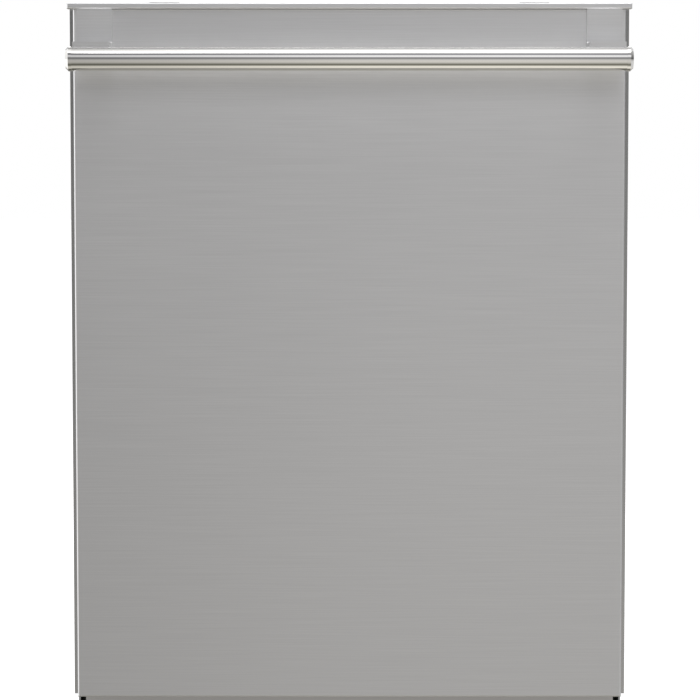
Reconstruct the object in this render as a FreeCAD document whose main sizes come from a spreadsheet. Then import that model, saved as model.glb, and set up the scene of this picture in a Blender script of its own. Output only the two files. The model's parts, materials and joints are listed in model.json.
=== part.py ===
import FreeCAD, Part
import math
import os
import re

import Sketcher
from FreeCAD import Placement, Rotation, Vector

# A built-in dishwasher with its door closed. Millimetres, X to the right, Y to the back, Z up.
# The origin is on the floor, in the middle of the whole machine.

SIZES = {
    # whole machine
    "side_out": 298, "back_out": 321.5, "machine_top": 852,
    # door
    "door_half": 296, "panel_half": 292.4, "lip_half": 298,
    "door_top": 848, "panel_top": 842, "panel_bottom": 106,
    "panel_face": -254, "panel_back": -250.2, "liner_front": -205, "liner_back": -195,
    "door_bottom": 150, "liner_top": 838, "boss_back": -189, "panel_sheet": 1.2,
    "pivot_deep": -222, "pivot_high": 127, "pin_radius": 4,
    # handle
    "bar_radius": 12.5, "bar_deep": -308.5, "bar_high": 788, "bar_half": 288,
    "bracket_inner": 250.5, "bracket_end": 287.8, "cap_radius": 13,
    # tub
    "tub_half": 284, "tub_front": -188, "tub_back": 300, "tub_bottom": 154, "tub_top": 830,
    "tub_sheet": 1.2, "tub_corner": 30, "flange_half": 296, "flange_top": 842,
    "wash_deep": 45, "sump_radius": 88,
    # base
    "tray_half": 290, "tray_front": -170, "tray_back": 300, "tray_floor": 30, "tray_wall": 3,
    "foot_wide": 265, "foot_front": -148, "foot_back": 274, "foot_radius": 19, "stem_radius": 5,
    "kick_face": -186, "kick_top": 112,
    # racks
    "wire": 2, "tine": 1.5, "rack_front": -158, "rack_back": 240,
    "low_rack_half": 236, "low_rack_floor": 205, "low_rack_top": 325,
    "up_rack_half": 250, "up_rack_floor": 500, "up_rack_top": 590,
    "wheel_radius": 18, "wheel_high": 173.6, "wheel_in": 241, "wheel_out": 251,
    "wheel_front": -60.4, "wheel_back": 142.4,
    # spray arms
    "low_arm": 170, "low_reach": 212, "up_arm": 455, "up_reach": 200, "top_arm": 796, "top_reach": 120,
    "post_radius": 8, "running": 0.06,
}

doc = FreeCAD.newDocument("Dishwasher")
sheet = doc.addObject("Spreadsheet::Sheet", "Sizes")
for row, (alias, value) in enumerate(SIZES.items(), 1):
    sheet.set(f"A{row}", alias)
    sheet.set(f"B{row}", str(value))
    sheet.setAlias(f"B{row}", alias)
doc.recompute()

pieces = {}


# ---------------------------------------------------------------- helpers

def size(alias):
    """A driving dimension, read back from the sheet."""
    return float(sheet.get(alias))


def bind(thing, field, text):
    """Drive a field by a rule, in which each word is an alias of the sheet."""
    thing.setExpression(field, re.sub(r"[a-z][a-z_]+", r"Sizes.\g<0>", str(text)))


def done(label, thing):
    """Keep a finished sub-part under its own label."""
    thing.Label = label
    pieces[label] = thing
    return thing


def block(x, y, z):
    """A box between a low and a high rule on each axis."""
    solid = doc.addObject("Part::Box", "Block")
    for axis, side, (low, high) in (("x", "Length", x), ("y", "Width", y), ("z", "Height", z)):
        bind(solid, "Placement.Base." + axis, low)
        bind(solid, side, f"({high})-({low})")
    return solid


AIM = {"x": Rotation(Vector(0, 1, 0), 90), "y": Rotation(Vector(1, 0, 0), -90), "z": Rotation()}


def rod(axis, start, end, radius, spot):
    """A cylinder along an axis from start to end; spot gives its two other coordinates in order."""
    solid = doc.addObject("Part::Cylinder", "Rod")
    solid.Placement = Placement(Vector(), AIM[axis])
    others = iter(spot)
    for name in "xyz":
        bind(solid, "Placement.Base." + name, start if name == axis else next(others))
    bind(solid, "Radius", radius)
    bind(solid, "Height", f"({end})-({start})")
    return solid


def fused(*parts):
    solid = doc.addObject("Part::MultiFuse", "Joined")
    solid.Shapes = list(parts)
    solid.Refine = True
    return solid


def together(*parts):
    """Separate solids that share one node."""
    group = doc.addObject("Part::Compound", "Set")
    group.Links = list(parts)
    return group


def cut(base, *tools):
    solid = doc.addObject("Part::Cut", "Cut")
    solid.Base = base
    solid.Tool = tools[0] if len(tools) == 1 else together(*tools)
    solid.Refine = True
    return solid


def mirrored(source):
    """The same piece on the other side of the machine's middle plane."""
    copy = doc.addObject("Part::Mirroring", "Mirrored")
    copy.Source = source
    copy.Base = Vector()
    copy.Normal = Vector(1, 0, 0)
    return copy


PLANES = {"x": "YZ_Plane", "y": "XZ_Plane", "z": "XY_Plane"}


def outline(body, axis, offset, loops):
    """A sketch square to an axis, with every corner held to its two rules."""
    sketch = body.newObject("Sketcher::SketchObject", "Outline")
    plane = next(p for p in body.Origin.OriginFeatures if p.Role == PLANES[axis])
    sketch.AttachmentSupport = (plane, [""])
    sketch.MapMode = "FlatFace"
    bind(sketch, "AttachmentOffset.Base.z", offset)
    for loop in loops:
        first = sketch.GeometryCount
        turn = 2 * math.pi / len(loop)
        guess = [Vector(10 * math.cos(k * turn), 10 * math.sin(k * turn), 0) for k in range(len(loop))]
        for k in range(len(loop)):
            sketch.addGeometry(Part.LineSegment(guess[k], guess[(k + 1) % len(loop)]), False)
        for k in range(len(loop)):
            after = first + (k + 1) % len(loop)
            sketch.addConstraint(Sketcher.Constraint("Coincident", first + k, 2, after, 1))
        for k, corner in enumerate(loop):
            for kind, text in zip(("DistanceX", "DistanceY"), corner):
                held = sketch.addConstraint(Sketcher.Constraint(kind, -1, 1, first + k, 1, 1.0))
                bind(sketch, f"Constraints[{held}]", text)
    return sketch


def prism(axis, low, high, *loops):
    """A body padded along an axis from low to high; Y outlines are drawn in X and Z."""
    body = doc.addObject("PartDesign::Body", "Body")
    sketch = outline(body, axis, f"-({high})" if axis == "y" else low, loops)
    pad = body.newObject("PartDesign::Pad", "Pad")
    pad.Profile = sketch
    bind(pad, "Length", f"({high})-({low})")
    return body


def turned(spot, *profile):
    """A body turned about an upright axis through spot; the profile is radius and height."""
    body = doc.addObject("PartDesign::Body", "Turned")
    sketch = outline(body, "y", "0", [profile])
    turn = body.newObject("PartDesign::Revolution", "Turn")
    turn.Profile = sketch
    turn.ReferenceAxis = (sketch, ["V_Axis"])
    turn.Angle = 360
    bind(body, "Placement.Base.x", spot[0])
    bind(body, "Placement.Base.y", spot[1])
    return body


def oblong(x, z):
    """A closed rectangular loop, for sketches square to Y (or to X and Z, in their order)."""
    return [(x[0], z[0]), (x[1], z[0]), (x[1], z[1]), (x[0], z[1])]


def straight(edge, axis):
    """Whether an edge is a straight line along an axis."""
    if edge.Curve.TypeId != "Part::GeomLine":
        return False
    return abs(getattr(edge.Curve.Direction, axis)) > 0.999


def rounded(body, radius, keep):
    """Fillet the edges of a body's last feature that keep() picks."""
    doc.recompute()
    last = body.Tip
    picked = [f"Edge{k}" for k, edge in enumerate(last.Shape.Edges, 1) if keep(edge)]
    fillet = body.newObject("PartDesign::Fillet", "Rounding")
    fillet.Base = (last, picked)
    bind(fillet, "Radius", radius)
    return body


def hollowed(body, wall, open_face):
    """Shell a body inwards, leaving out the faces that open_face() picks."""
    doc.recompute()
    last = body.Tip
    picked = [f"Face{k}" for k, face in enumerate(last.Shape.Faces, 1) if open_face(face)]
    shell = body.newObject("PartDesign::Thickness", "Shell")
    shell.Base = (last, picked)
    shell.Reversed = True
    bind(shell, "Value", wall)
    return body


def solids(label, shapes):
    """A node whose wires are swept in code from sizes read off the sheet."""
    thing = doc.addObject("Part::Feature", label)
    thing.Shape = Part.makeCompound(shapes)
    return done(label, thing)


def wire(radius, bend, *points):
    """A round wire through points, bent at each corner between them."""
    spots = [Vector(*point) for point in points]
    edges = []
    last = spots[0]
    for before, corner, after in zip(spots, spots[1:], spots[2:]):
        back = (before - corner).normalize()
        ahead = (after - corner).normalize()
        half = back.getAngle(ahead) / 2
        reach = bend / math.tan(half)
        middle = corner + (back + ahead).normalize() * (bend / math.sin(half) - bend)
        edges.append(Part.LineSegment(last, corner + back * reach).toShape())
        last = corner + ahead * reach
        edges.append(Part.Arc(corner + back * reach, middle, last).toShape())
    edges.append(Part.LineSegment(last, spots[-1]).toShape())
    ring = Part.Wire(Part.makeCircle(radius, spots[0], spots[1] - spots[0]))
    return Part.Wire(edges).makePipeShell([ring], True, True)


def spread(low, high, count):
    return [low + (high - low) * k / (count - 1) for k in range(count)]


# ---------------------------------------------------------------- tub

def tub_shell():
    """The pressed steel wash tub, open in front, with a flange round its mouth."""
    box = prism("y", "tub_front", "tub_back", oblong(("-tub_half", "tub_half"), ("tub_bottom", "tub_top")))
    rounded(box, "tub_corner", lambda edge: straight(edge, "y"))
    rounded(box, "10", lambda edge: edge.BoundBox.YMin > size("tub_back") - 0.1)
    hollowed(box, "tub_sheet", lambda face: face.BoundBox.YMax < size("tub_front") + 0.1)
    plate = block(("-flange_half", "flange_half"), ("tub_front", "tub_front + 1.5"), ("142", "flange_top"))
    mouth = prism("y", "tub_front - 1", "tub_front + 3",
                  oblong(("-tub_half + 0.6", "tub_half - 0.6"), ("tub_bottom + 0.6", "tub_top - 0.6")))
    rounded(mouth, "tub_corner", lambda edge: straight(edge, "y"))
    drain = rod("z", "tub_bottom - 5", "tub_bottom + 5", "sump_radius", ("0", "wash_deep"))
    float_hole = rod("z", "tub_bottom - 5", "tub_bottom + 5", "6", ("-150", "-140"))
    legs = [rod("z", "tub_bottom - 5", "tub_bottom + 5", "4.5", (x, "wash_deep + 114")) for x in ("-20", "20")]
    return done("tub_shell", cut(fused(box, cut(plate, mouth)), drain, float_hole, *legs))


def tub_seals():
    """The rubber gasket round the sides and top of the tub's mouth, and the lip seal below it."""
    loop = [("-293", "158"), ("-293", "837.5"), ("293", "837.5"), ("293", "158"),
            ("285.5", "158"), ("285.5", "831.5"), ("-285.5", "831.5"), ("-285.5", "158")]
    seal = prism("y", "liner_back + 0.4", "tub_front", loop)
    front = size("liner_back") + 0.5
    rounded(seal, "2", lambda edge: edge.BoundBox.YMax < front)
    loop = [("tub_front", "148"), ("tub_front", "153.5"), ("liner_back + 2", "153.5"),
            ("liner_back + 0.4", "151.5"), ("liner_back + 0.4", "150.3"), ("liner_back + 3", "150")]
    return done("tub_seals", together(seal, prism("x", "-280", "280", loop)))


def top_insulation():
    """The felt pad lying on the tub."""
    pad = prism("z", "tub_top", "tub_top + 10", oblong(("-255", "255"), ("-165", "270")))
    return done("top_insulation", rounded(pad, "4", lambda edge: edge.BoundBox.ZMin > size("tub_top") + 9))


def side_panel():
    """A folded steel side with two pressed ribs; its mirror image is the left side."""
    sheet_loop = [("side_out", "-186"), ("side_out", "300"), ("side_out - 10", "300"),
                  ("side_out - 10", "299"), ("side_out - 1", "299"), ("side_out - 1", "-185"),
                  ("side_out - 1.9", "-185"), ("side_out - 1.9", "-186")]
    plate = prism("z", "tray_floor", "846", sheet_loop)
    ribs = [block(("side_out - 4", "side_out"), (y, f"{y} + 24"), ("200", "760")) for y in (-90, 170)]
    presses = [block(("side_out - 3", "side_out + 1"), (f"{y} + 1", f"{y} + 23"), ("201", "759"))
               for y in (-90, 170)]
    return done("side_panel_right", cut(fused(plate, *ribs), *presses))


# ---------------------------------------------------------------- base

def base_tray():
    """The plastic base that carries the tub, with a screw boss over each foot."""
    tray = prism("z", "tray_floor", "tub_bottom",
                 oblong(("-tray_half", "tray_half"), ("tray_front", "tray_back")))
    rounded(tray, "12", lambda edge: straight(edge, "z"))
    hollowed(tray, "tray_wall", lambda face: face.BoundBox.ZMin > size("tub_bottom") - 0.1)
    feet = [(x, y) for x in ("-foot_wide", "foot_wide") for y in ("foot_front", "foot_back")]
    bosses = [rod("z", "8", "90", "13", spot) for spot in feet]
    kick_bosses = [rod("y", "kick_face + 1.2", "tray_front + 1", "8", (x, "80")) for x in ("-250", "250")]
    bores = [rod("z", "0", "86", "stem_radius + 0.08", spot) for spot in feet]
    screws = [rod("y", "kick_face - 1", "tray_front + 5", "2.05", (x, "80")) for x in ("-250", "250")]
    ports = [rod("y", "tray_back - 5", "tray_back + 5", radius, spot)
             for radius, spot in ((15, ("-220", "80")), (13, ("-120", "80")), (13, ("185", "75")))]
    return done("base_tray", cut(fused(tray, *bosses, *kick_bosses), *bores, *screws, *ports))


def foot(label, x, y):
    """A levelling foot: a pad with a stem screwed into its boss."""
    pad = turned((x, y), ("0", "0"), ("foot_radius - 2", "0"), ("foot_radius", "2"), ("foot_radius", "5"),
                 ("9", "6"), ("stem_radius", "6.5"), ("stem_radius", "76"), ("stem_radius - 1", "78"), ("0", "78"))
    return done(label, pad)


def toe_kick_panel():
    """The recessed kick plate with folded edges."""
    loop = [("kick_face", "10"), ("-172.4", "10"), ("-172.4", "11.2"), ("kick_face + 1.2", "11.2"),
            ("kick_face + 1.2", "kick_top - 1.2"), ("-172.4", "kick_top - 1.2"), ("-172.4", "kick_top"),
            ("kick_face", "kick_top")]
    plate = prism("x", "-tray_half", "tray_half", loop)
    holes = [rod("y", "kick_face - 1", "kick_face + 3", "2.6", (x, "80")) for x in ("-250", "250")]
    foot_gaps = [block((f"{x} - 24", f"{x} + 24"), ("kick_face + 2", "-170"), ("9", "12"))
                 for x in ("-foot_wide", "foot_wide")]
    return done("toe_kick_panel", cut(plate, *holes, *foot_gaps))


def toe_kick_screws():
    """The two screws of the kick plate, as separate solids."""
    screws = []
    for x in ("-250", "250"):
        head = rod("y", "kick_face - 2.6", "kick_face", "5", (x, "80"))
        shank = rod("y", "kick_face", "kick_face + 18", "2", (x, "80"))
        cross = [block((f"{x} - 2.5", f"{x} + 2.5"), ("kick_face - 3", "kick_face - 1.4"), ("79.5", "80.5")),
                 block((f"{x} - 0.5", f"{x} + 0.5"), ("kick_face - 3", "kick_face - 1.4"), ("77.5", "82.5"))]
        screws.append(cut(fused(head, shank), *cross))
    return done("toe_kick_screws", together(*screws))


def counter_brackets():
    """Two steel tabs that screw up into the worktop."""
    tabs = []
    for x in (-200, 200):
        loop = [("-186.5", "flange_top - 12"), ("-185.3", "flange_top - 12"), ("-185.3", "machine_top - 1.2"),
                ("-150", "machine_top - 1.2"), ("-150", "machine_top"), ("-186.5", "machine_top")]
        tab = prism("x", f"{x} - 16", f"{x} + 16", loop)
        tabs.append(cut(tab, rod("z", "machine_top - 5", "machine_top + 5", "2.75", (x, "-164"))))
    return done("counter_brackets", together(*tabs))


def junction_box():
    """The steel wiring box, with a knock-out hole in its back for the supply conduit."""
    back = "tray_back - tray_wall"
    case = block(("140", "230"), (f"{back} - 59", back), ("40", "110"))
    room = block(("141.5", "228.5"), (f"{back} - 57.5", f"{back} - 1.5"), ("41.5", "108.5"))
    knock_out = rod("y", f"{back} - 5", f"{back} + 5", "11", ("185", "75"))
    return done("junction_box", cut(case, room, knock_out))


def inlet_valve():
    """The water valve: threaded port out of the back, solenoid on top."""
    port = rod("y", "275", "back_out - 2", "13.2", ("-220", "80"))
    bore = rod("y", "279", "back_out", "8", ("-220", "80"))
    shoulder = rod("y", "270", "tray_back - tray_wall", "17", ("-220", "80"))
    case = block(("-238", "-202"), ("236", "273"), ("64", "98"))
    coil = rod("z", "98", "128", "14", ("-220", "254"))
    outlet = rod("z", "50", "64", "6", ("-220", "250"))
    return done("inlet_valve", cut(fused(shoulder, port, case, coil, outlet), bore))


def sump():
    """The moulded sump below the tub, with a stepped wall and the post of the lower spray arm."""
    basin = turned(("0", "wash_deep"), ("0", "58"), ("62", "58"), ("70", "66"), ("78", "110"),
                   ("100", "tub_bottom - 3"), ("100", "tub_bottom"), ("sump_radius", "tub_bottom"),
                   ("sump_radius", "tub_bottom - 5"), ("75", "112"), ("67", "68"), ("60", "61"), ("0", "61"))
    post = rod("z", "60", "low_arm + 7.6", "post_radius", ("0", "wash_deep"))
    neck = rod("z", "60", "140", "13", ("0", "wash_deep"))
    wash_port = rod("x", "70", "97", "18", ("wash_deep", "90"))
    wash_bore = rod("x", "60", "98", "15", ("wash_deep", "90"))
    drain_port = rod("x", "-97", "-66", "13", ("wash_deep", "80"))
    drain_bore = rod("x", "-98", "-60", "11", ("wash_deep", "80"))
    return done("sump", fused(cut(fused(basin, wash_port, drain_port), wash_bore, drain_bore), post, neck))


def filter_plate():
    """The flat strainer let into the tub floor."""
    deep = size("wash_deep")
    low = size("tub_bottom") - 7
    plate = Part.makeCylinder(size("sump_radius") - 1, 2, Vector(0, deep, low))
    plate = plate.cut(Part.makeCylinder(size("post_radius") + 6, 8, Vector(0, deep, low - 2)))
    plate = plate.cut(Part.makeCylinder(27, 8, Vector(36, deep - 22, low - 2)))
    holes = []
    for ring, count in ((22, 10), (34, 14), (46, 20), (58, 26), (69, 32), (80, 38)):
        for k in range(count):
            turn = 2 * math.pi * k / count
            spot = Vector(ring * math.cos(turn), deep + ring * math.sin(turn), low - 1)
            if (spot - Vector(36, deep - 22, low - 1)).Length > 30:
                holes.append(Part.makeCylinder(2, 4, spot))
    return solids("filter_plate", [plate.cut(Part.makeCompound(holes))])


def micro_filter():
    """The cylindrical fine filter, which turns to lift out."""
    spot = ("36", "wash_deep - 22")
    tube = turned(spot, ("20", "84"), ("22", "84"), ("22", "149.3"), ("30", "149.3"), ("30", "152"), ("20", "152"))
    window = block(("10", "80"), ("wash_deep - 30", "wash_deep - 14"), ("92", "140"))
    grip = fused(block(("33", "39"), ("wash_deep - 48", "wash_deep + 4"), ("150", "162")),
                 rod("z", "147", "150", "21", spot))
    return done("micro_filter", cut(fused(tube, grip), window))


def wash_pump():
    """The circulation pump lying beside the sump."""
    flange = rod("x", "97", "101", "20", ("wash_deep", "90"))
    snail = rod("x", "101", "136", "42", ("wash_deep", "90"))
    motor = rod("x", "136", "232", "36", ("wash_deep", "90"))
    boss = rod("x", "232", "240", "12", ("wash_deep", "90"))
    outlet = rod("z", "90", "146", "12", ("118", "wash_deep + 28"))
    fins = [rod("x", f"{146 + 12 * k}", f"{150 + 12 * k}", "38", ("wash_deep", "90")) for k in range(6)]
    return done("wash_pump", fused(flange, snail, motor, boss, outlet, *fins))


def drain_pump():
    """The drain pump and its outlet spigot, which leaves through the back of the base."""
    flange = rod("x", "-103", "-97", "17", ("wash_deep", "80"))
    snail = rod("x", "-125", "-103", "30", ("wash_deep", "80"))
    motor = rod("x", "-172", "-125", "25", ("wash_deep", "80"))
    pipe = rod("y", "wash_deep + 20", "tray_back + 0.5", "12", ("-120", "80"))
    spigot = rod("y", "tray_back", "back_out", "11", ("-120", "80"))
    bore = rod("y", "wash_deep + 40", "back_out + 1", "9", ("-120", "80"))
    return done("drain_pump", cut(fused(flange, snail, motor, pipe, spigot), bore))


def heater_element():
    """The tubular heater: an open ring whose ends turn down through the tub floor."""
    deep = size("wash_deep")
    reach = 114
    high = 164
    gap = math.degrees(math.asin(20 / reach))
    radius = math.hypot(20, reach)
    ring = Part.makeTorus(radius, 3.5, Vector(0, deep, high), Vector(0, 0, 1), 0, 360, 360 - 2 * gap)
    ring.rotate(Vector(0, deep, high), Vector(0, 0, 1), 90 + gap)
    parts = []
    for x in (-20, 20):
        parts.append(Part.makeSphere(3.5, Vector(x, deep + reach, high)))
        parts.append(Part.makeCylinder(3.5, high - 130, Vector(x, deep + reach, 130)))
    return solids("heater_element", [ring.fuse(parts).removeSplitter()])


def float_dome():
    """The overfill float: a cap in the tub on a stem through the floor."""
    cap = turned(("-150", "-140"), ("0", "130"), ("5", "130"), ("5", "156"), ("16", "156"), ("18", "158"),
                 ("18", "176"), ("12", "184"), ("0", "186"))
    return done("float_dome", cap)


def feed_tube():
    """The water tube up the back wall and along the ceiling to the top spray arm."""
    deep = size("wash_deep")
    back = 281
    high = 820
    tube = wire(7, 14, (0, back, size("tub_bottom") + 1.5), (0, back, high), (0, deep, high))
    foot_plate = Part.makeCylinder(9, 3, Vector(0, back, size("tub_bottom") + 1.5))
    dock = Part.makeCylinder(9, 16, Vector(0, back - 22, 486), Vector(0, 1, 0))
    post = Part.makeCylinder(size("post_radius"), high - size("top_arm") - 3.4, Vector(0, deep, size("top_arm") + 3.4))
    end = Part.makeSphere(8, Vector(0, deep, high))
    return solids("feed_tube", [tube.fuse([foot_plate, dock, post, end]).removeSplitter()])


def spray_arm(label, low, reach, thick, up):
    """A hollow-looking arm with slanted jets; its hub turns on a post with a running fit."""
    deep = size("wash_deep")
    base = size(low)
    far = size(reach)
    half = [Vector(-far, -9, 0), Vector(-far * 0.4, -17, 0), Vector(far * 0.4, -20, 0), Vector(far, -11, 0),
            Vector(far + 3, 0, 0), Vector(far, 9, 0), Vector(far * 0.4, 17, 0), Vector(-far * 0.4, 20, 0),
            Vector(-far, 11, 0), Vector(-far - 3, 0, 0)]
    arm = Part.Face(Part.makePolygon(half + half[:1])).extrude(Vector(0, 0, thick))
    rim = [edge for edge in arm.Edges if abs(edge.BoundBox.ZMin - edge.BoundBox.ZMax) < 0.01]
    arm = arm.makeFillet(3, rim)
    hub = Part.makeCylinder(22, thick + 4, Vector(0, 0, 0 if up else -4))
    arm = arm.fuse(hub)
    bore = size("post_radius") + size("running")
    hollow = Part.makeCylinder(bore, thick + 4, Vector(0, 0, 3)) if up else \
        Part.makeCylinder(bore, thick + 4, Vector(0, 0, -8))
    jets = [Part.makeCylinder(1.6, 12, Vector(far * share, 0, thick / 2), Vector(0, share, 1))
            for share in (-0.9, -0.75, -0.55, -0.35, -0.2, 0.25, 0.4, 0.6, 0.8, 0.92)]
    arm = arm.cut(Part.makeCompound([hollow] + jets)).removeSplitter()
    arm.translate(Vector(0, deep, base))
    return solids(label, [arm])


# ---------------------------------------------------------------- racks

def wire_basket(label, half, floor, top, along, across, extra):
    """A basket of wires: floor wires, bent uprights at their ends and two rims."""
    radius = size("wire")
    half, floor, top = size(half), size(floor), size(top)
    front, back = size("rack_front"), size("rack_back")
    bend = 9
    step = 2 * radius + 0.02
    shapes = []
    for x in spread(-half + 26, half - 26, along):
        shapes.append(wire(radius, bend, (x, front + 14, floor), (x, back - 14, floor)))
        shapes.append(wire(radius, bend, (x, front + 14, floor), (x, front, floor), (x, front, top)))
        shapes.append(wire(radius, bend, (x, back - 14, floor), (x, back, floor), (x, back, top)))
    low = floor - step
    for y in spread(front + 30, back - 30, across):
        shapes.append(wire(radius, bend, (-half + 14, y, low), (half - 14, y, low)))
        for side in (-1, 1):
            ends = (side * (half - 14), y, low), (side * half, y, low), (side * half, y, top)
            shapes.append(wire(radius, bend, *ends))
    wide = half + step
    corner = 12
    for high in (top - radius, (floor + top) / 2):
        for y, inward in ((front - step, 1), (back + step, -1)):
            ends = [(-wide, y + inward * corner, high), (-wide, y, high), (wide, y, high),
                    (wide, y + inward * corner, high)]
            shapes.append(wire(radius, 10, *ends))
        for side in (-1, 1):
            shapes.append(wire(radius, bend, (side * wide, front - step + corner, high),
                               (side * wide, back + step - corner, high)))
    return solids(label, shapes + extra)


def lower_rack():
    """The lower basket with two fixed rows of plate tines."""
    floor = size("low_rack_floor")
    base = floor + size("wire") + 0.02
    tines = [Part.makeCylinder(size("tine"), 78, Vector(x, y, base))
             for y in (-60, 150) for x in spread(-210, 70, 5)]
    return wire_basket("lower_rack", "low_rack_half", "low_rack_floor", "low_rack_top", 7, 6, tines)


def wheel_carriers():
    """The four moulded plates that hold the lower basket's wheels."""
    high = size("wheel_high")
    plates = []
    for side in (-1, 1):
        for y in (size("wheel_front"), size("wheel_back")):
            inner = size("wheel_in") - 1.7
            plate = Part.makeBox(2.4, 44, 62, Vector(side * inner - 1.2, y - 22, high - 8))
            axle = Part.makeCylinder(3, 11, Vector(side * inner, y, high), Vector(side, 0, 0))
            plates.append(plate.fuse(axle))
    return solids("wheel_carriers", plates)


def rack_wheel(label, side, y):
    """A grooved wheel that turns on its carrier's axle."""
    radius = size("wheel_radius")
    inner = size("wheel_in")
    wide = size("wheel_out") - inner
    start = Vector(side * inner, size(y), size("wheel_high"))
    aim = Vector(side, 0, 0)
    wheel = Part.makeCylinder(radius, wide, start, aim)
    wheel = wheel.makeFillet(1.5, [edge for edge in wheel.Edges if edge.Curve.TypeId == "Part::GeomCircle"])
    bore = Part.makeCylinder(3 + size("running"), wide + 2, start - aim, aim)
    dish = Part.makeCylinder(radius - 5, 2, start + aim * (wide - 2), aim)
    dish = dish.cut(Part.makeCylinder(6, 3, start + aim * (wide - 3), aim))
    spokes = []
    for k in range(6):
        turn = math.radians(60 * k)
        spot = start - aim + Vector(0, 9.5 * math.cos(turn), 9.5 * math.sin(turn))
        spokes.append(Part.makeCylinder(2.2, wide + 2, spot, aim))
    return solids(label, [wheel.cut(Part.makeCompound([bore, dish] + spokes))])


def folding_tines():
    """A row of tines on a rod that lies down towards the door."""
    high = size("low_rack_floor") + 5.5
    radius = size("tine")
    rail = Part.makeCylinder(2, 300, Vector(-220, 60, high), Vector(1, 0, 0))
    tines = [Part.makeCylinder(radius, 78, Vector(x, 60, high)) for x in spread(-210, 70, 9)]
    return solids("folding_tines", [rail.fuse(tines).removeSplitter()])


def cutlery_basket():
    """The slotted plastic basket that lifts out of the lower rack."""
    low = size("low_rack_floor") + size("wire") + 0.5
    case = Part.makeBox(76, 200, 108, Vector(134, -146, low))
    room = Part.makeBox(72, 196, 108, Vector(136, -144, low + 2))
    walls = [Part.makeBox(72, 2, 100, Vector(136, y, low + 2)) for y in (-96, -47, 2)]
    slots = []
    for y in spread(-140, 40, 10):
        for high in (16, 62):
            slots.append(Part.makeBox(90, 8, 30, Vector(127, y, low + high)))
    for x in (142, 158, 174, 190):
        slots.append(Part.makeBox(10, 210, 26, Vector(x, -151, low + 62)))
        for y in (-138, -90, -41, 8):
            slots.append(Part.makeBox(8, 36, 6, Vector(x, y, low - 2)))
    basket = case.cut(room)
    basket = basket.fuse(walls).cut(Part.makeCompound(slots))
    grip = wire(3, 10, (172, -96.5, low + 94), (172, -96.5, low + 116), (172, 3, low + 116), (172, 3, low + 94))
    return solids("cutlery_basket", [basket.fuse(grip).removeSplitter()])


def upper_rack():
    """The upper basket with two rows of cup tines."""
    base = size("up_rack_floor") + size("wire") + 0.02
    tines = [Part.makeCylinder(size("tine"), 46, Vector(x, y, base))
             for x in (-90, 90) for y in spread(-120, 200, 7)]
    return wire_basket("upper_rack", "up_rack_half", "up_rack_floor", "up_rack_top", 7, 6, tines)


def upper_manifold():
    """The tube under the upper basket that feeds the middle spray arm."""
    deep = size("wash_deep")
    high = size("up_rack_floor") - 3 * size("wire") - 8.1
    base = size("up_arm")
    tube = Part.makeCylinder(8, 206, Vector(0, deep, high), Vector(0, 1, 0))
    end = Part.makeSphere(8, Vector(0, deep, high))
    post = Part.makeCylinder(size("post_radius"), high - base - 3.4, Vector(0, deep, base + 3.4))
    funnel = Part.makeCone(8, 12, 6, Vector(0, deep + 200, high), Vector(0, 1, 0))
    return solids("upper_manifold", [tube.fuse([end, post, funnel]).removeSplitter()])


def upper_rails():
    """The fixed channels of the telescopic runners, one on each wall of the tub."""
    wall = "tub_half - tub_sheet"
    loop = [(wall, "530"), (wall, "560"), ("274", "560"), ("274", "557"), (f"{wall} - 1.4", "557"),
            (f"{wall} - 1.4", "533"), ("274", "533"), ("274", "530")]
    rail = prism("y", "-165", "270", loop)
    return done("upper_rails", together(rail, mirrored(rail)))


def rail_middles():
    """The middle members of the telescopic runners."""
    loop = [("267.2", "534"), ("280.6", "534"), ("280.6", "556"), ("267.2", "556"), ("267.2", "553.4"),
            ("274", "553.4"), ("274", "536.6"), ("267.2", "536.6")]
    rail = prism("y", "-160", "258", loop)
    return done("rail_middles", together(rail, mirrored(rail)))


def upper_slides():
    """The inner members of the runners, fixed to the upper basket's sides."""
    reach = "up_rack_half + 3 * wire + 0.02"
    loop = [(reach, "540"), ("273.4", "540"), ("273.4", "550"), (reach, "550")]
    slide = prism("y", "-156", "246", loop)
    rounded(slide, "1", lambda edge: straight(edge, "y"))
    return done("upper_slides", together(slide, mirrored(slide)))


def cup_shelf():
    """A wire shelf hinged along the upper basket's right side."""
    high = 562
    inner = 152
    rail = size("up_rack_half") - 12
    shapes = [wire(2, 4, (rail, -110, high), (rail, 190, high))]
    low = high - 3.52
    for y in spread(-104, 184, 9):
        shapes.append(wire(1.5, 4, (rail, y, low), (inner, y, low)))
    for x in (154, 182, 210):
        shapes.append(wire(1.5, 4, (x, -108, high - 0.5), (x, 188, high - 0.5)))
    return solids("cup_shelf", shapes)


# ---------------------------------------------------------------- door

def door_outer_panel():
    """The plain steel front: a shallow tray with softly folded edges."""
    panel = prism("y", "panel_face", "panel_back",
                  oblong(("-panel_half", "panel_half"), ("panel_bottom", "panel_top")))
    face = size("panel_face") + 0.1
    rounded(panel, "1.8", lambda edge: edge.BoundBox.YMax < face)
    back = size("panel_back") - 0.1
    hollowed(panel, "panel_sheet", lambda side: side.BoundBox.YMin > back)
    return done("door_outer_panel", panel)


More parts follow.
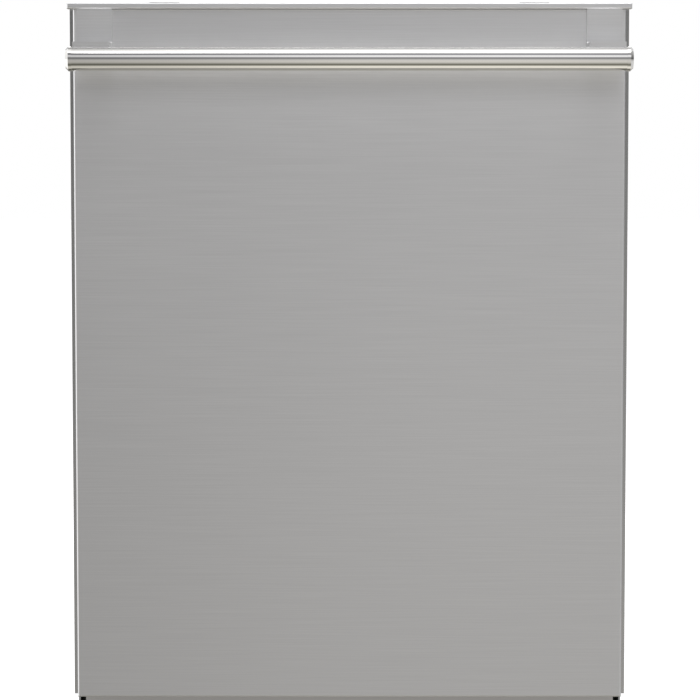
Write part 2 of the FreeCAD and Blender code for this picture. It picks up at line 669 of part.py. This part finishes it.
def door_frame():
    """The folded frame behind the front, with a narrow skirt each side; it is open round the hinge arms."""
    skin = "panel_sheet"
    front = ("panel_back", "panel_back + 1.2")
    skirt = ("panel_bottom + 3", "door_bottom")
    side_bars = []
    for side in ((f"door_half - {skin}", "door_half"), ("-door_half", f"-door_half + {skin}")):
        side_bars.append(block(side, ("panel_back", "liner_front"), ("door_bottom", "panel_top")))
        side_bars.append(block(side, ("panel_back", "panel_back + 14"), skirt))
    lips = [block(("door_half - 16", "door_half"), front, ("door_bottom", "panel_top")),
            block(("-door_half", "-door_half + 16"), front, ("door_bottom", "panel_top")),
            block(("door_half - 10", "door_half"), front, skirt),
            block(("-door_half", "-door_half + 10"), front, skirt),
            block(("-door_half", "door_half"), front, ("panel_top - 20", "panel_top")),
            block(("-280", "280"), front, ("door_bottom", "door_bottom + 16"))]
    top = block(("-door_half", "door_half"), ("panel_back", "-243.4"), ("panel_top - 1.2", "panel_top"))
    bottom = block(("-280", "280"), ("panel_back", "liner_front"), ("door_bottom", "door_bottom + 1.2"))
    back = prism("y", "liner_front - 1.2", "liner_front",
                 oblong(("-door_half", "door_half"), ("door_bottom", "832")),
                 oblong(("-272", "272"), ("172", "815")))
    return done("door_frame", fused(*side_bars, *lips, top, bottom, back))


def door_inner_liner():
    """The pressed inner face of the door, raised in the middle."""
    liner = prism("y", "liner_front", "liner_back", oblong(("-294", "294"), ("door_bottom", "liner_top")))
    edge_face = size("liner_back") - 0.1
    rounded(liner, "3", lambda edge: edge.BoundBox.YMin > edge_face)
    raised = prism("y", "liner_front", "boss_back", oblong(("-225", "225"), ("190", "800")))
    rounded(raised, "14", lambda edge: straight(edge, "y"))
    boss_face = size("boss_back") - 0.1
    rounded(raised, "3", lambda edge: edge.BoundBox.YMin > boss_face)
    room = block(("-292.8", "292.8"), ("liner_front - 1", "liner_back - 1.2"),
                 ("door_bottom + 1.2", "liner_top - 1.2"))
    inner = block(("-222", "222"), ("liner_front - 1", "boss_back - 1.2"), ("193", "797"))
    hatch = block(("-92", "92"), ("liner_front - 1", "boss_back + 1"), ("428", "542"))
    return done("door_inner_liner", cut(fused(liner, raised), room, inner, hatch))


def door_top_lip():
    """The trim strip that caps the front and overhangs it a little."""
    loop = [("panel_face - 9", "panel_top"), ("-243.4", "panel_top"), ("-243.4", "door_top"),
            ("panel_face - 9", "door_top")]
    lip = prism("x", "-lip_half", "lip_half", loop)
    front = size("panel_face") - 8.9
    rounded(lip, "1.2", lambda edge: edge.BoundBox.YMax < front)
    return done("door_top_lip", lip)


BUTTONS = {"button_power": -235, "button_programme": 120, "button_dry": 150, "button_start": 235}


def control_panel():
    """The control strip on the door's top edge: button pockets, display recess, latch bay and its pin."""
    strip = prism("z", "834", "door_top - 1", oblong(("-290", "290"), ("-243", "liner_front - 1.6")))
    rounded(strip, "3", lambda edge: straight(edge, "z"))
    pockets = [block((f"{x} - 9.3", f"{x} + 9.3"), ("-233.3", "-219.7"), ("door_top - 5", "door_top + 1"))
               for x in BUTTONS.values()]
    window = block(("-60", "60"), ("-232", "-216"), ("door_top - 1.6", "door_top"))
    latch_bay = block(("-12", "12"), ("-222", "liner_front"), ("839", "door_top + 1"))
    latch_pin = rod("x", "-13", "13", "1.25", ("-214", "844"))
    return done("control_panel", fused(cut(strip, window, latch_bay, *pockets), latch_pin))


def button(label, x):
    cap = prism("z", "door_top - 3.6", "door_top", oblong((f"{x} - 9", f"{x} + 9"), ("-233", "-220")))
    top = size("door_top") - 0.1
    return done(label, rounded(cap, "1", lambda edge: edge.BoundBox.ZMin > top))


def latch_hook():
    """The sprung hook that drops through the strike to hold the door."""
    hook = fused(rod("x", "-4", "4", "2.6", ("-214", "844")),
                 block(("-4", "4"), ("-214", "-195.5"), ("844.4", "846.4")),
                 block(("-4", "4"), ("-199", "-195.5"), ("842.4", "846.4")))
    return done("latch_hook", cut(hook, rod("x", "-5", "5", "1.3", ("-214", "844"))))


def latch_strike():
    """The steel loop on the tub that the hook catches."""
    plate = block(("-12", "12"), ("-204", "tub_front"), ("flange_top - 2.4", "flange_top"))
    return done("latch_strike", cut(plate, block(("-6", "6"), ("-201.5", "-192.5"), ("830", "850"))))


def handle_bar():
    """The round grip tube across the front."""
    tube = rod("x", "-bar_half", "bar_half", "bar_radius", ("bar_deep", "bar_high"))
    bore = rod("x", "-bar_half - 1", "bar_half + 1", "bar_radius - 1.5", ("bar_deep", "bar_high"))
    return done("handle_bar", cut(tube, bore))


def handle_caps():
    """The two turned end caps, plugged into the grip tube."""
    cap = turned(("bar_half", "0"), ("0", "0"), ("0", "-14"), ("bar_radius - 1.6", "-14"),
                 ("bar_radius - 1.6", "0"), ("cap_radius", "0"), ("cap_radius", "3.5"),
                 ("cap_radius - 3", "6.5"), ("0", "6.5"))
    cap.Placement = Placement(Vector(), AIM["x"])
    bind(cap, "Placement.Base.x", "bar_half")
    bind(cap, "Placement.Base.y", "bar_deep")
    bind(cap, "Placement.Base.z", "bar_high")
    return done("handle_caps", together(cap, mirrored(cap)))


def handle_bracket():
    """A wide bracket that runs down from under the lip and out to the grip; its mirror is the other one."""
    loop = [("panel_face", "panel_top"), ("panel_face - 8", "panel_top"), ("panel_face - 8", "bar_high + 18"),
            ("bar_deep", "bar_high + 18"), ("bar_deep", "bar_high - 10"), ("panel_face", "bar_high - 10")]
    sweep = prism("x", "bracket_inner", "bracket_end", loop)
    corner = Vector(0, size("panel_face") - 8, size("bar_high") + 18)

    def inner_corner(edge):
        spot = edge.CenterOfMass
        return straight(edge, "x") and math.hypot(spot.y - corner.y, spot.z - corner.z) < 0.1

    rounded(sweep, "1.5", inner_corner)
    collar = block(("bracket_inner - 1", "bracket_end"), ("bar_deep", "bar_deep + 14"),
                   ("bar_high - 10", "bar_high + 15"))
    grip = rod("x", "bracket_inner - 5", "bracket_end + 5", "bar_radius", ("bar_deep", "bar_high"))
    return done("handle_bracket_right", cut(fused(sweep, collar), grip))


def dispenser_body():
    """The detergent and rinse-aid unit let into the door's liner."""
    case = block(("-91", "91"), ("-228", "boss_back"), ("429", "541"))
    face = block(("-96", "96"), ("boss_back", "boss_back + 1.6"), ("424", "546"))
    cup = block(("-74", "-18"), ("-214", "boss_back + 3"), ("452", "520"))
    well = rod("y", "-200", "boss_back + 3", "11", ("76", "500"))
    guides = [block(("-82", "58"), ("boss_back + 1.6", "boss_back + 4.6"), z)
              for z in (("445", "448"), ("524", "527"))]
    return done("dispenser_body", cut(fused(case, face, *guides), cup, well))


def dispenser_lid():
    """The cup's lid, which slides sideways between its guides."""
    lid = block(("-79", "-13"), ("boss_back + 1.9", "boss_back + 4.4"), ("448.4", "523.6"))
    ribs = [block((f"{x}", f"{x} + 3"), ("boss_back + 4.4", "boss_back + 5.6"), ("460", "512"))
            for x in (-70, -62, -54)]
    return done("dispenser_lid", fused(lid, *ribs))


def rinse_cap():
    """The turn-to-open cap of the rinse-aid tank."""
    plug = rod("y", "-196", "boss_back + 1.6", "10.7", ("76", "500"))
    disc = rod("y", "boss_back + 1.9", "boss_back + 5", "13.5", ("76", "500"))
    grip = block(("74", "78"), ("boss_back + 5", "boss_back + 8"), ("489", "511"))
    neck = rod("y", "boss_back + 1", "boss_back + 2", "8", ("76", "500"))
    return done("rinse_cap", fused(plug, neck, disc, grip))


def hinge_brackets():
    """The pivot plates on the base, each with its riveted pin."""
    loop = [("tray_front", "40"), ("tray_front - 2", "40"), ("tray_front - 2", "115"),
            ("pivot_deep", "pivot_high - 11"), ("pivot_deep - 11", "pivot_high"),
            ("pivot_deep", "pivot_high + 11"), ("tray_front - 2", "139"), ("tray_front", "139")]
    plate = prism("x", "278", "281", loop)
    foot_plate = block(("258", "281"), ("tray_front - 2", "tray_front"), ("40", "139"))
    pin = rod("x", "281", "289", "pin_radius", ("pivot_deep", "pivot_high"))
    side = fused(plate, foot_plate, pin)
    return done("hinge_brackets", together(side, mirrored(side)))


def hinge_arms():
    """The arms that carry the door on the pivot pins."""
    loop = [("pivot_deep - 8", "pivot_high - 8"), ("pivot_deep", "pivot_high - 11"),
            ("pivot_deep + 8", "pivot_high - 8"), ("pivot_deep + 11", "pivot_high"),
            ("pivot_deep + 11", "335"), ("-247.8", "335"), ("-247.8", "170"), ("pivot_deep - 11", "pivot_high")]
    plate = prism("x", "284", "287", loop)
    foot_plate = block(("284", "294.8"), ("-249", "-247.8"), ("170", "335"))
    hole = rod("x", "280", "292", "pin_radius + running", ("pivot_deep", "pivot_high"))
    arm = cut(fused(plate, foot_plate), hole)
    return done("hinge_arms", together(arm, mirrored(arm)))


# ---------------------------------------------------------------- assembly

def build():
    tub_shell()
    tub_seals()
    top_insulation()
    done("side_panel_left", mirrored(side_panel()))
    base_tray()
    foot("foot_front_left", "-foot_wide", "foot_front")
    foot("foot_front_right", "foot_wide", "foot_front")
    foot("foot_back_left", "-foot_wide", "foot_back")
    foot("foot_back_right", "foot_wide", "foot_back")
    toe_kick_panel()
    toe_kick_screws()
    counter_brackets()
    junction_box()
    inlet_valve()
    sump()
    filter_plate()
    micro_filter()
    wash_pump()
    drain_pump()
    heater_element()
    float_dome()
    feed_tube()
    spray_arm("spray_arm_lower", "low_arm", "low_reach", 12, False)
    spray_arm("spray_arm_upper", "up_arm", "up_reach", 12, True)
    spray_arm("spray_arm_top", "top_arm", "top_reach", 10, True)
    lower_rack()
    wheel_carriers()
    rack_wheel("wheel_front_left", -1, "wheel_front")
    rack_wheel("wheel_front_right", 1, "wheel_front")
    rack_wheel("wheel_back_left", -1, "wheel_back")
    rack_wheel("wheel_back_right", 1, "wheel_back")
    folding_tines()
    cutlery_basket()
    upper_rack()
    upper_manifold()
    upper_rails()
    rail_middles()
    upper_slides()
    cup_shelf()
    door_outer_panel()
    door_frame()
    door_inner_liner()
    door_top_lip()
    control_panel()
    for label, x in BUTTONS.items():
        button(label, x)
    latch_hook()
    latch_strike()
    handle_bar()
    handle_caps()
    done("handle_bracket_left", mirrored(handle_bracket()))
    dispenser_body()
    dispenser_lid()
    rinse_cap()
    hinge_brackets()
    hinge_arms()


def export():
    """Check every object and write one STEP file per sub-part."""
    doc.recompute()
    faults = [thing.Name for thing in doc.Objects if "Invalid" in thing.State or "Error" in thing.State]
    if faults:
        raise RuntimeError("objects with faults: " + ", ".join(faults))
    os.makedirs("parts", exist_ok=True)
    for label, piece in pieces.items():
        if piece.Shape.isNull() or not piece.Shape.isValid():
            raise RuntimeError(label + " has no valid shape")
        piece.Shape.exportStep(f"parts/{label}.step")


build()
export()
print(len(pieces), "sub-parts")
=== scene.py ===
import json
import math

import bpy
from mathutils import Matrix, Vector

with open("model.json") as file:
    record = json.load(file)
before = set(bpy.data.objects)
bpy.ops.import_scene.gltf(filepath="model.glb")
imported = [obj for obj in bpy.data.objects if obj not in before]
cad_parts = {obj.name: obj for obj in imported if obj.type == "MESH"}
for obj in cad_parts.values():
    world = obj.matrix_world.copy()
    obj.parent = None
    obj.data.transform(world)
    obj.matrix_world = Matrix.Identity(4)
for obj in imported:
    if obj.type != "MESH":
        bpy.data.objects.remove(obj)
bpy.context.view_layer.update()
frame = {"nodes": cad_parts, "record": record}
nodes = frame["nodes"]
scene = bpy.context.scene
scene.view_settings.view_transform = "Standard"


# ---------------------------------------------------------------- material helpers

def new_material(name):
    """An empty node material and its shader."""
    material = bpy.data.materials.new(name)
    material.use_nodes = True
    tree = material.node_tree
    tree.nodes.clear()
    output = tree.nodes.new("ShaderNodeOutputMaterial")
    shader = tree.nodes.new("ShaderNodeBsdfPrincipled")
    tree.links.new(shader.outputs["BSDF"], output.inputs["Surface"])
    return material, tree, shader


def noise(tree, stretch, scale, detail=3.0):
    """A noise texture in object coordinates, stretched along the axes."""
    place = tree.nodes.new("ShaderNodeTexCoord")
    mapping = tree.nodes.new("ShaderNodeMapping")
    mapping.inputs["Scale"].default_value = stretch
    texture = tree.nodes.new("ShaderNodeTexNoise")
    texture.inputs["Scale"].default_value = scale
    texture.inputs["Detail"].default_value = detail
    tree.links.new(place.outputs["Object"], mapping.inputs["Vector"])
    tree.links.new(mapping.outputs["Vector"], texture.inputs["Vector"])
    return texture.outputs["Fac"]


def ramp(tree, source, low, high, start=0.3, end=0.7):
    """Map a 0..1 value onto two colours."""
    node = tree.nodes.new("ShaderNodeValToRGB")
    node.color_ramp.elements[0].position = start
    node.color_ramp.elements[1].position = end
    node.color_ramp.elements[0].color = (*low, 1)
    node.color_ramp.elements[1].color = (*high, 1)
    tree.links.new(source, node.inputs["Fac"])
    return node.outputs["Color"]


def span(tree, source, low, high, start=0.25, end=0.75):
    """Map one range of numbers onto another."""
    node = tree.nodes.new("ShaderNodeMapRange")
    node.inputs["From Min"].default_value = start
    node.inputs["From Max"].default_value = end
    node.inputs["To Min"].default_value = low
    node.inputs["To Max"].default_value = high
    tree.links.new(source, node.inputs["Value"])
    return node.outputs["Result"]


def bump(tree, shader, source, strength, distance):
    """Relief from a 0..1 value."""
    node = tree.nodes.new("ShaderNodeBump")
    node.inputs["Strength"].default_value = strength
    node.inputs["Distance"].default_value = distance
    tree.links.new(source, node.inputs["Height"])
    tree.links.new(node.outputs["Normal"], shader.inputs["Normal"])


def shade(colour, factor):
    """A colour made lighter or darker by a factor."""
    return tuple(part * factor for part in colour)


def along(tree, axis):
    """The place along one axis of the piece."""
    place = tree.nodes.new("ShaderNodeTexCoord")
    split = tree.nodes.new("ShaderNodeSeparateXYZ")
    tree.links.new(place.outputs["Object"], split.inputs["Vector"])
    return split.outputs[axis]


def multiplied(tree, first, second):
    """One tone times another."""
    node = tree.nodes.new("ShaderNodeVectorMath")
    node.operation = "MULTIPLY"
    tree.links.new(first, node.inputs[0])
    tree.links.new(second, node.inputs[1])
    return node.outputs["Vector"]


# ---------------------------------------------------------------- kinds of surface

GRAIN = {"x": (0.5, 60.0, 60.0), "y": (60.0, 0.5, 60.0), "z": (60.0, 60.0, 0.5)}


def brushed(name, colour, rough, grain="x", smear=0.0, depth=0.05, contrast=0.05, painted_shade=None):
    """Brushed steel: fine streaks along one axis, and optionally painted shade, a base colour darker
    towards the bottom and lighter towards the top that stands in for light falling from above.
    """
    material, tree, shader = new_material(name)
    streaks = noise(tree, GRAIN[grain], 20.0, 4.0)
    clouds = noise(tree, (1.0, 1.0, 1.0), 3.0, 2.0)
    shader.inputs["Metallic"].default_value = 1.0
    shader.inputs["Anisotropic"].default_value = smear
    shader.inputs["Anisotropic Rotation"].default_value = 0.25
    tint = ramp(tree, streaks, shade(colour, 1 - contrast), shade(colour, 1 + contrast))
    # Painted shade: the tint is multiplied by a height ramp, so the lower steel looks shaded and the
    # upper steel looks lit.
    if painted_shade:
        foot, head, low, high = painted_shade
        height = span(tree, along(tree, "Z"), 0.0, 1.0, foot, head)
        painted_shading = ramp(tree, height, (low, low, low), (high, high, high), 0.0, 1.0)
        tint = multiplied(tree, tint, painted_shading)
    tree.links.new(tint, shader.inputs["Base Color"])
    mixed = tree.nodes.new("ShaderNodeMath")
    mixed.operation = "ADD"
    tree.links.new(span(tree, streaks, rough * 0.9, rough * 1.1), mixed.inputs[0])
    tree.links.new(span(tree, clouds, -0.02, 0.02), mixed.inputs[1])
    tree.links.new(mixed.outputs[0], shader.inputs["Roughness"])
    bump(tree, shader, streaks, depth, 0.0004)
    return material


def moulded(name, colour, rough, grain_size=900.0, depth=0.15):
    """Moulded plastic: a fine pebbled grain with slight wear in its gloss."""
    material, tree, shader = new_material(name)
    grain = noise(tree, (1.0, 1.0, 1.0), grain_size, 2.0)
    wear = noise(tree, (1.0, 1.0, 1.0), 9.0, 5.0)
    tint = ramp(tree, wear, shade(colour, 0.9), shade(colour, 1.08))
    tree.links.new(tint, shader.inputs["Base Color"])
    tree.links.new(span(tree, wear, rough - 0.05, rough + 0.05), shader.inputs["Roughness"])
    bump(tree, shader, grain, depth, 0.0003)
    return material


def galvanised(name, colour, rough):
    """Zinc-coated sheet with its patchy spangle."""
    material, tree, shader = new_material(name)
    place = tree.nodes.new("ShaderNodeTexCoord")
    cells = tree.nodes.new("ShaderNodeTexVoronoi")
    cells.inputs["Scale"].default_value = 120.0
    tree.links.new(place.outputs["Object"], cells.inputs["Vector"])
    shader.inputs["Metallic"].default_value = 0.9
    spangle = ramp(tree, cells.outputs["Color"], shade(colour, 0.86), shade(colour, 1.1), 0.1, 0.9)
    tree.links.new(spangle, shader.inputs["Base Color"])
    wear = noise(tree, (1.0, 1.0, 1.0), 12.0, 4.0)
    tree.links.new(span(tree, wear, rough - 0.06, rough + 0.08), shader.inputs["Roughness"])
    bump(tree, shader, wear, 0.1, 0.0006)
    return material


def felted(name, colour):
    """Needled felt: matted fibres that scatter light."""
    material, tree, shader = new_material(name)
    fibres = noise(tree, (1.0, 3.0, 1.0), 420.0, 6.0)
    tint = ramp(tree, fibres, shade(colour, 0.6), shade(colour, 1.5))
    tree.links.new(tint, shader.inputs["Base Color"])
    shader.inputs["Roughness"].default_value = 0.95
    shader.inputs["Sheen Weight"].default_value = 0.3
    bump(tree, shader, fibres, 0.6, 0.0015)
    return material


def rubbery(name, colour):
    """Soft black rubber with a little dust in its pores."""
    material, tree, shader = new_material(name)
    dust = noise(tree, (1.0, 1.0, 1.0), 60.0, 5.0)
    tree.links.new(ramp(tree, dust, colour, shade(colour, 1.8)), shader.inputs["Base Color"])
    tree.links.new(span(tree, dust, 0.6, 0.8), shader.inputs["Roughness"])
    bump(tree, shader, dust, 0.1, 0.0003)
    return material


def tinted_steel(name, colour):
    """Heater sheath: steel with straw and blue heat tint."""
    material, tree, shader = new_material(name)
    tint = noise(tree, (1.0, 1.0, 1.0), 14.0, 4.0)
    shader.inputs["Metallic"].default_value = 1.0
    tree.links.new(ramp(tree, tint, (0.42, 0.33, 0.22), colour, 0.35, 0.6), shader.inputs["Base Color"])
    tree.links.new(span(tree, tint, 0.25, 0.4), shader.inputs["Roughness"])
    bump(tree, shader, noise(tree, (1.0, 1.0, 1.0), 600.0), 0.08, 0.0002)
    return material


# ---------------------------------------------------------------- materials of the pieces

# Painted shade on the door steel: its base colour runs from darker at the foot to lighter at the head,
# standing in for the studio light from above. The heights of its foot and head, and its tone at each.
DOOR_PAINTED_SHADE = (0.106, 0.842, 0.89, 1.09)

MATERIALS = {
    "door steel": brushed("door steel", (0.875, 0.875, 0.88), 0.34, "x", 0.6, 0.05, 0.03, DOOR_PAINTED_SHADE),
    "handle steel": brushed("handle steel", (0.88, 0.87, 0.85), 0.07, "x", 0.0, 0.01, 0.02),
    "tub steel": brushed("tub steel", (0.62, 0.62, 0.61), 0.26, "z", 0.0, 0.04, 0.03),
    "kick steel": brushed("kick steel", (0.62, 0.61, 0.6), 0.36, "x", 0.0, 0.05, 0.03),
    "rail steel": brushed("rail steel", (0.6, 0.6, 0.6), 0.25, "y", 0.0, 0.03, 0.03),
    "screw steel": brushed("screw steel", (0.7, 0.7, 0.7), 0.2, "y", 0.0, 0.02, 0.02),
    "heater steel": tinted_steel("heater steel", (0.5, 0.48, 0.45)),
    "galvanised side": galvanised("galvanised side", (0.55, 0.56, 0.57), 0.42),
    "bracket zinc": galvanised("bracket zinc", (0.6, 0.6, 0.6), 0.38),
    "seal rubber": rubbery("seal rubber", (0.03, 0.03, 0.032)),
    "felt": felted("felt", (0.12, 0.12, 0.13)),
    "base plastic": moulded("base plastic", (0.03, 0.03, 0.033), 0.55),
    "foot plastic": moulded("foot plastic", (0.05, 0.05, 0.055), 0.5),
    "valve plastic": moulded("valve plastic", (0.72, 0.73, 0.75), 0.35, 900.0, 0.05),
    "sump plastic": moulded("sump plastic", (0.16, 0.17, 0.18), 0.45),
    "filter plastic": moulded("filter plastic", (0.30, 0.32, 0.35), 0.4, 900.0, 0.08),
    "pump plastic": moulded("pump plastic", (0.09, 0.09, 0.1), 0.4),
    "arm plastic": moulded("arm plastic", (0.42, 0.44, 0.46), 0.38, 900.0, 0.06),
    "rack coating": moulded("rack coating", (0.36, 0.37, 0.39), 0.28, 300.0, 0.04),
    "wheel plastic": moulded("wheel plastic", (0.24, 0.25, 0.27), 0.4, 900.0, 0.08),
    "basket plastic": moulded("basket plastic", (0.34, 0.35, 0.37), 0.4, 900.0, 0.08),
    "dispenser plastic": moulded("dispenser plastic", (0.25, 0.26, 0.28), 0.32, 900.0, 0.06),
    "control gloss": moulded("control gloss", (0.012, 0.012, 0.014), 0.12, 200.0, 0.01),
    "button plastic": moulded("button plastic", (0.06, 0.06, 0.065), 0.35, 900.0, 0.05),
}

# Pieces whose finish differs from their slot's: the brackets are duller than the bar,
# and the frame is bare metal.
BRACKET_STEEL = brushed("bracket steel", (0.92, 0.92, 0.92), 0.34, "x", 0.6, 0.04, 0.03)
FRAME_METAL = brushed("frame metal", (0.55, 0.55, 0.545), 0.22, "z", 0.0, 0.02, 0.02)


OWN_FINISH = {
    "handle_bracket_left": BRACKET_STEEL,
    "handle_bracket_right": BRACKET_STEEL,
    "door_frame": FRAME_METAL,
}


def finish_of(entry):
    """A piece's own finish if it has one, and otherwise that of its slot in the record."""
    if entry["node"] in OWN_FINISH:
        return OWN_FINISH[entry["node"]]
    return MATERIALS[entry["material_slot"]]


def paint_nodes():
    """Give every CAD node its material."""
    for entry in frame["record"]["subparts"]:
        piece = nodes[entry["node"]]
        piece.data.materials.clear()
        piece.data.materials.append(finish_of(entry))


# ---------------------------------------------------------------- stage

# What the steel mirrors in front of the door: (sine of the height angle, tone).
FRONT = [
    (-1.0, (0.88, 0.85, 0.76)),
    (-0.97, (0.78, 0.75, 0.68)),
    (-0.93, (0.42, 0.41, 0.36)),
    (-0.87, (0.16, 0.155, 0.12)),
    (-0.78, (0.20, 0.195, 0.17)),
    (-0.66, (0.46, 0.45, 0.41)),
    (-0.50, (0.64, 0.62, 0.58)),
    (-0.20, (0.62, 0.605, 0.59)),
    (-0.05, (0.40, 0.40, 0.395)),
    (0.08, (0.20, 0.20, 0.205)),
    (0.22, (0.34, 0.34, 0.35)),
    (0.38, (0.95, 0.95, 0.97)),
    (0.50, (0.95, 0.95, 0.97)),
    (0.62, (0.36, 0.36, 0.38)),
    (0.73, (0.26, 0.26, 0.28)),
    (0.84, (0.70, 0.70, 0.71)),
    (0.92, (1.25, 1.25, 1.25)),
    (1.0, (1.20, 1.20, 1.20)),
]
# The same to its left and its right.
LEFT = [
    (-1.0, (0.8, 0.8, 0.8)),
    (-0.1, (1.3, 1.3, 1.3)),
    (0.05, (0.9, 0.9, 0.9)),
    (1.0, (1.2, 1.2, 1.2)),
]
RIGHT = [
    (-1.0, (0.6, 0.6, 0.6)),
    (-0.2, (0.7, 0.7, 0.7)),
    (-0.06, (0.45, 0.45, 0.45)),
    (0.01, (0.08, 0.08, 0.08)),
    (0.3, (0.3, 0.3, 0.3)),
    (1.0, (1.1, 1.1, 1.1)),
]
# The share of the front tone that is kept, from left to right and from front to back.
ACROSS = [
    (-0.60, 1.6),
    (-0.40, 0.9),
    (-0.22, 0.45),
    (-0.10, 0.70),
    (0.0, 1.06),
    (0.07, 1.10),
    (0.18, 0.82),
    (0.40, 1.0),
    (0.60, 1.6),
]
DEPTH = [(0.14, 1.0), (0.24, 0.40), (0.34, 0.45), (0.50, 0.75)]
# Where the front's tones give way to those of the sides, as sines of the side angle.
SIDE_START = 0.52
SIDE_END = 0.72

FLOOR_SIZE = 40
FLOOR_DROP = 0.001
FLOOR_TONE = 0.8
FLOOR_ROUGHNESS = 0.8
FLOOR_GLOW = 0.6

OVERHEAD = {"spot": (0.2, -0.8, 2.4), "aim": (0.0, -0.3, 0.7), "width": 1.6, "height": 0.6, "power": 6}
BACK = {"spot": (0.0, 2.5, 2.6), "aim": (0, 0, 0.5), "width": 2.5, "height": 1.5, "power": 40}

CAMERA_TILT = 4.4
CAMERA_DISTANCE = 3.0
CAMERA_SPAN = 0.7465
CAMERA_TARGET = (0.0006, -0.254, 0.4806)
SENSOR_WIDTH = 36.0


def floor():
    """A plain pale floor; its glow is for the eye only, and the steel mirrors the studio instead."""
    bpy.ops.mesh.primitive_plane_add(size=FLOOR_SIZE, location=(0, 0, -FLOOR_DROP))
    plane = bpy.context.object
    plane.name = "floor"
    plane.visible_glossy = False
    material, tree, shader = new_material("floor")
    path = tree.nodes.new("ShaderNodeLightPath")
    shader.inputs["Base Color"].default_value = (FLOOR_TONE, FLOOR_TONE, FLOOR_TONE, 1)
    shader.inputs["Roughness"].default_value = FLOOR_ROUGHNESS
    shader.inputs["Emission Color"].default_value = (1, 1, 1, 1)
    glow = span(tree, path.outputs["Is Camera Ray"], 0.0, FLOOR_GLOW, 0.0, 1.0)
    tree.links.new(glow, shader.inputs["Emission Strength"])
    plane.data.materials.append(material)


def soft_box(name, spot, aim, width, height, power):
    """A rectangular studio light."""
    light = bpy.data.lights.new(name, "AREA")
    light.shape = "RECTANGLE"
    light.size = width
    light.size_y = height
    light.energy = power
    holder = bpy.data.objects.new(name, light)
    scene.collection.objects.link(holder)
    holder.location = spot
    holder.rotation_euler = (Vector(aim) - Vector(spot)).to_track_quat("-Z", "Y").to_euler()


def tones(tree, source, steps):
    """A colour ramp over a -1..1 value."""
    node = tree.nodes.new("ShaderNodeValToRGB")
    elements = node.color_ramp.elements
    elements[0].position = (steps[0][0] + 1) / 2
    elements[0].color = (*steps[0][1], 1)
    elements[1].position = (steps[-1][0] + 1) / 2
    elements[1].color = (*steps[-1][1], 1)
    for at, tone in steps[1:-1]:
        element = elements.new((at + 1) / 2)
        element.color = (*tone, 1)
    tree.links.new(span(tree, source, 0.0, 1.0, -1.0, 1.0), node.inputs["Fac"])
    return node.outputs["Color"]


def blended(tree, factor, first, second):
    """A factor's mix of two tones."""
    mix = tree.nodes.new("ShaderNodeMixRGB")
    tree.links.new(factor, mix.inputs["Fac"])
    tree.links.new(first, mix.inputs["Color1"])
    tree.links.new(second, mix.inputs["Color2"])
    return mix.outputs["Color"]


def surroundings():
    """A pale studio: white to the eye, with the bands of tone that the steel mirrors."""
    world = bpy.data.worlds.new("studio")
    scene.world = world
    world.use_nodes = True
    tree = world.node_tree
    tree.nodes.clear()
    output = tree.nodes.new("ShaderNodeOutputWorld")
    seen = tree.nodes.new("ShaderNodeBackground")
    seen.inputs["Color"].default_value = (1, 1, 1, 1)
    glow = tree.nodes.new("ShaderNodeBackground")
    place = tree.nodes.new("ShaderNodeTexCoord")
    split = tree.nodes.new("ShaderNodeSeparateXYZ")
    tree.links.new(place.outputs["Generated"], split.inputs["Vector"])
    front = tones(tree, split.outputs["Z"], FRONT)
    for axis, shares in (("X", ACROSS), ("Y", DEPTH)):
        share = tones(tree, split.outputs[axis], [(at, (part, part, part)) for at, part in shares])
        front = multiplied(tree, front, share)
    left = tones(tree, split.outputs["Z"], LEFT)
    right = tones(tree, split.outputs["Z"], RIGHT)
    to_left = span(tree, split.outputs["X"], 1.0, 0.0, -SIDE_END, -SIDE_START)
    to_right = span(tree, split.outputs["X"], 0.0, 1.0, SIDE_START, SIDE_END)
    sides = blended(tree, to_left, front, left)
    sides = blended(tree, to_right, sides, right)
    tree.links.new(sides, glow.inputs["Color"])
    path = tree.nodes.new("ShaderNodeLightPath")
    mix = tree.nodes.new("ShaderNodeMixShader")
    tree.links.new(path.outputs["Is Camera Ray"], mix.inputs["Fac"])
    tree.links.new(glow.outputs["Background"], mix.inputs[1])
    tree.links.new(seen.outputs["Background"], mix.inputs[2])
    tree.links.new(mix.outputs["Shader"], output.inputs["Surface"])


def camera():
    """Square on to the door and slightly from above."""
    lens = bpy.data.cameras.new("camera")
    lens.sensor_width = SENSOR_WIDTH
    holder = bpy.data.objects.new("camera", lens)
    scene.collection.objects.link(holder)
    scene.camera = holder
    tilt = math.radians(CAMERA_TILT)
    away = Vector((0.0, -math.cos(tilt), math.sin(tilt))) * CAMERA_DISTANCE
    holder.location = Vector(CAMERA_TARGET) + away
    holder.rotation_euler = (-away).to_track_quat("-Z", "Y").to_euler()
    lens.lens = SENSOR_WIDTH * CAMERA_DISTANCE / CAMERA_SPAN


paint_nodes()
floor()
surroundings()
soft_box("overhead", **OVERHEAD)
soft_box("back", **BACK)
camera()
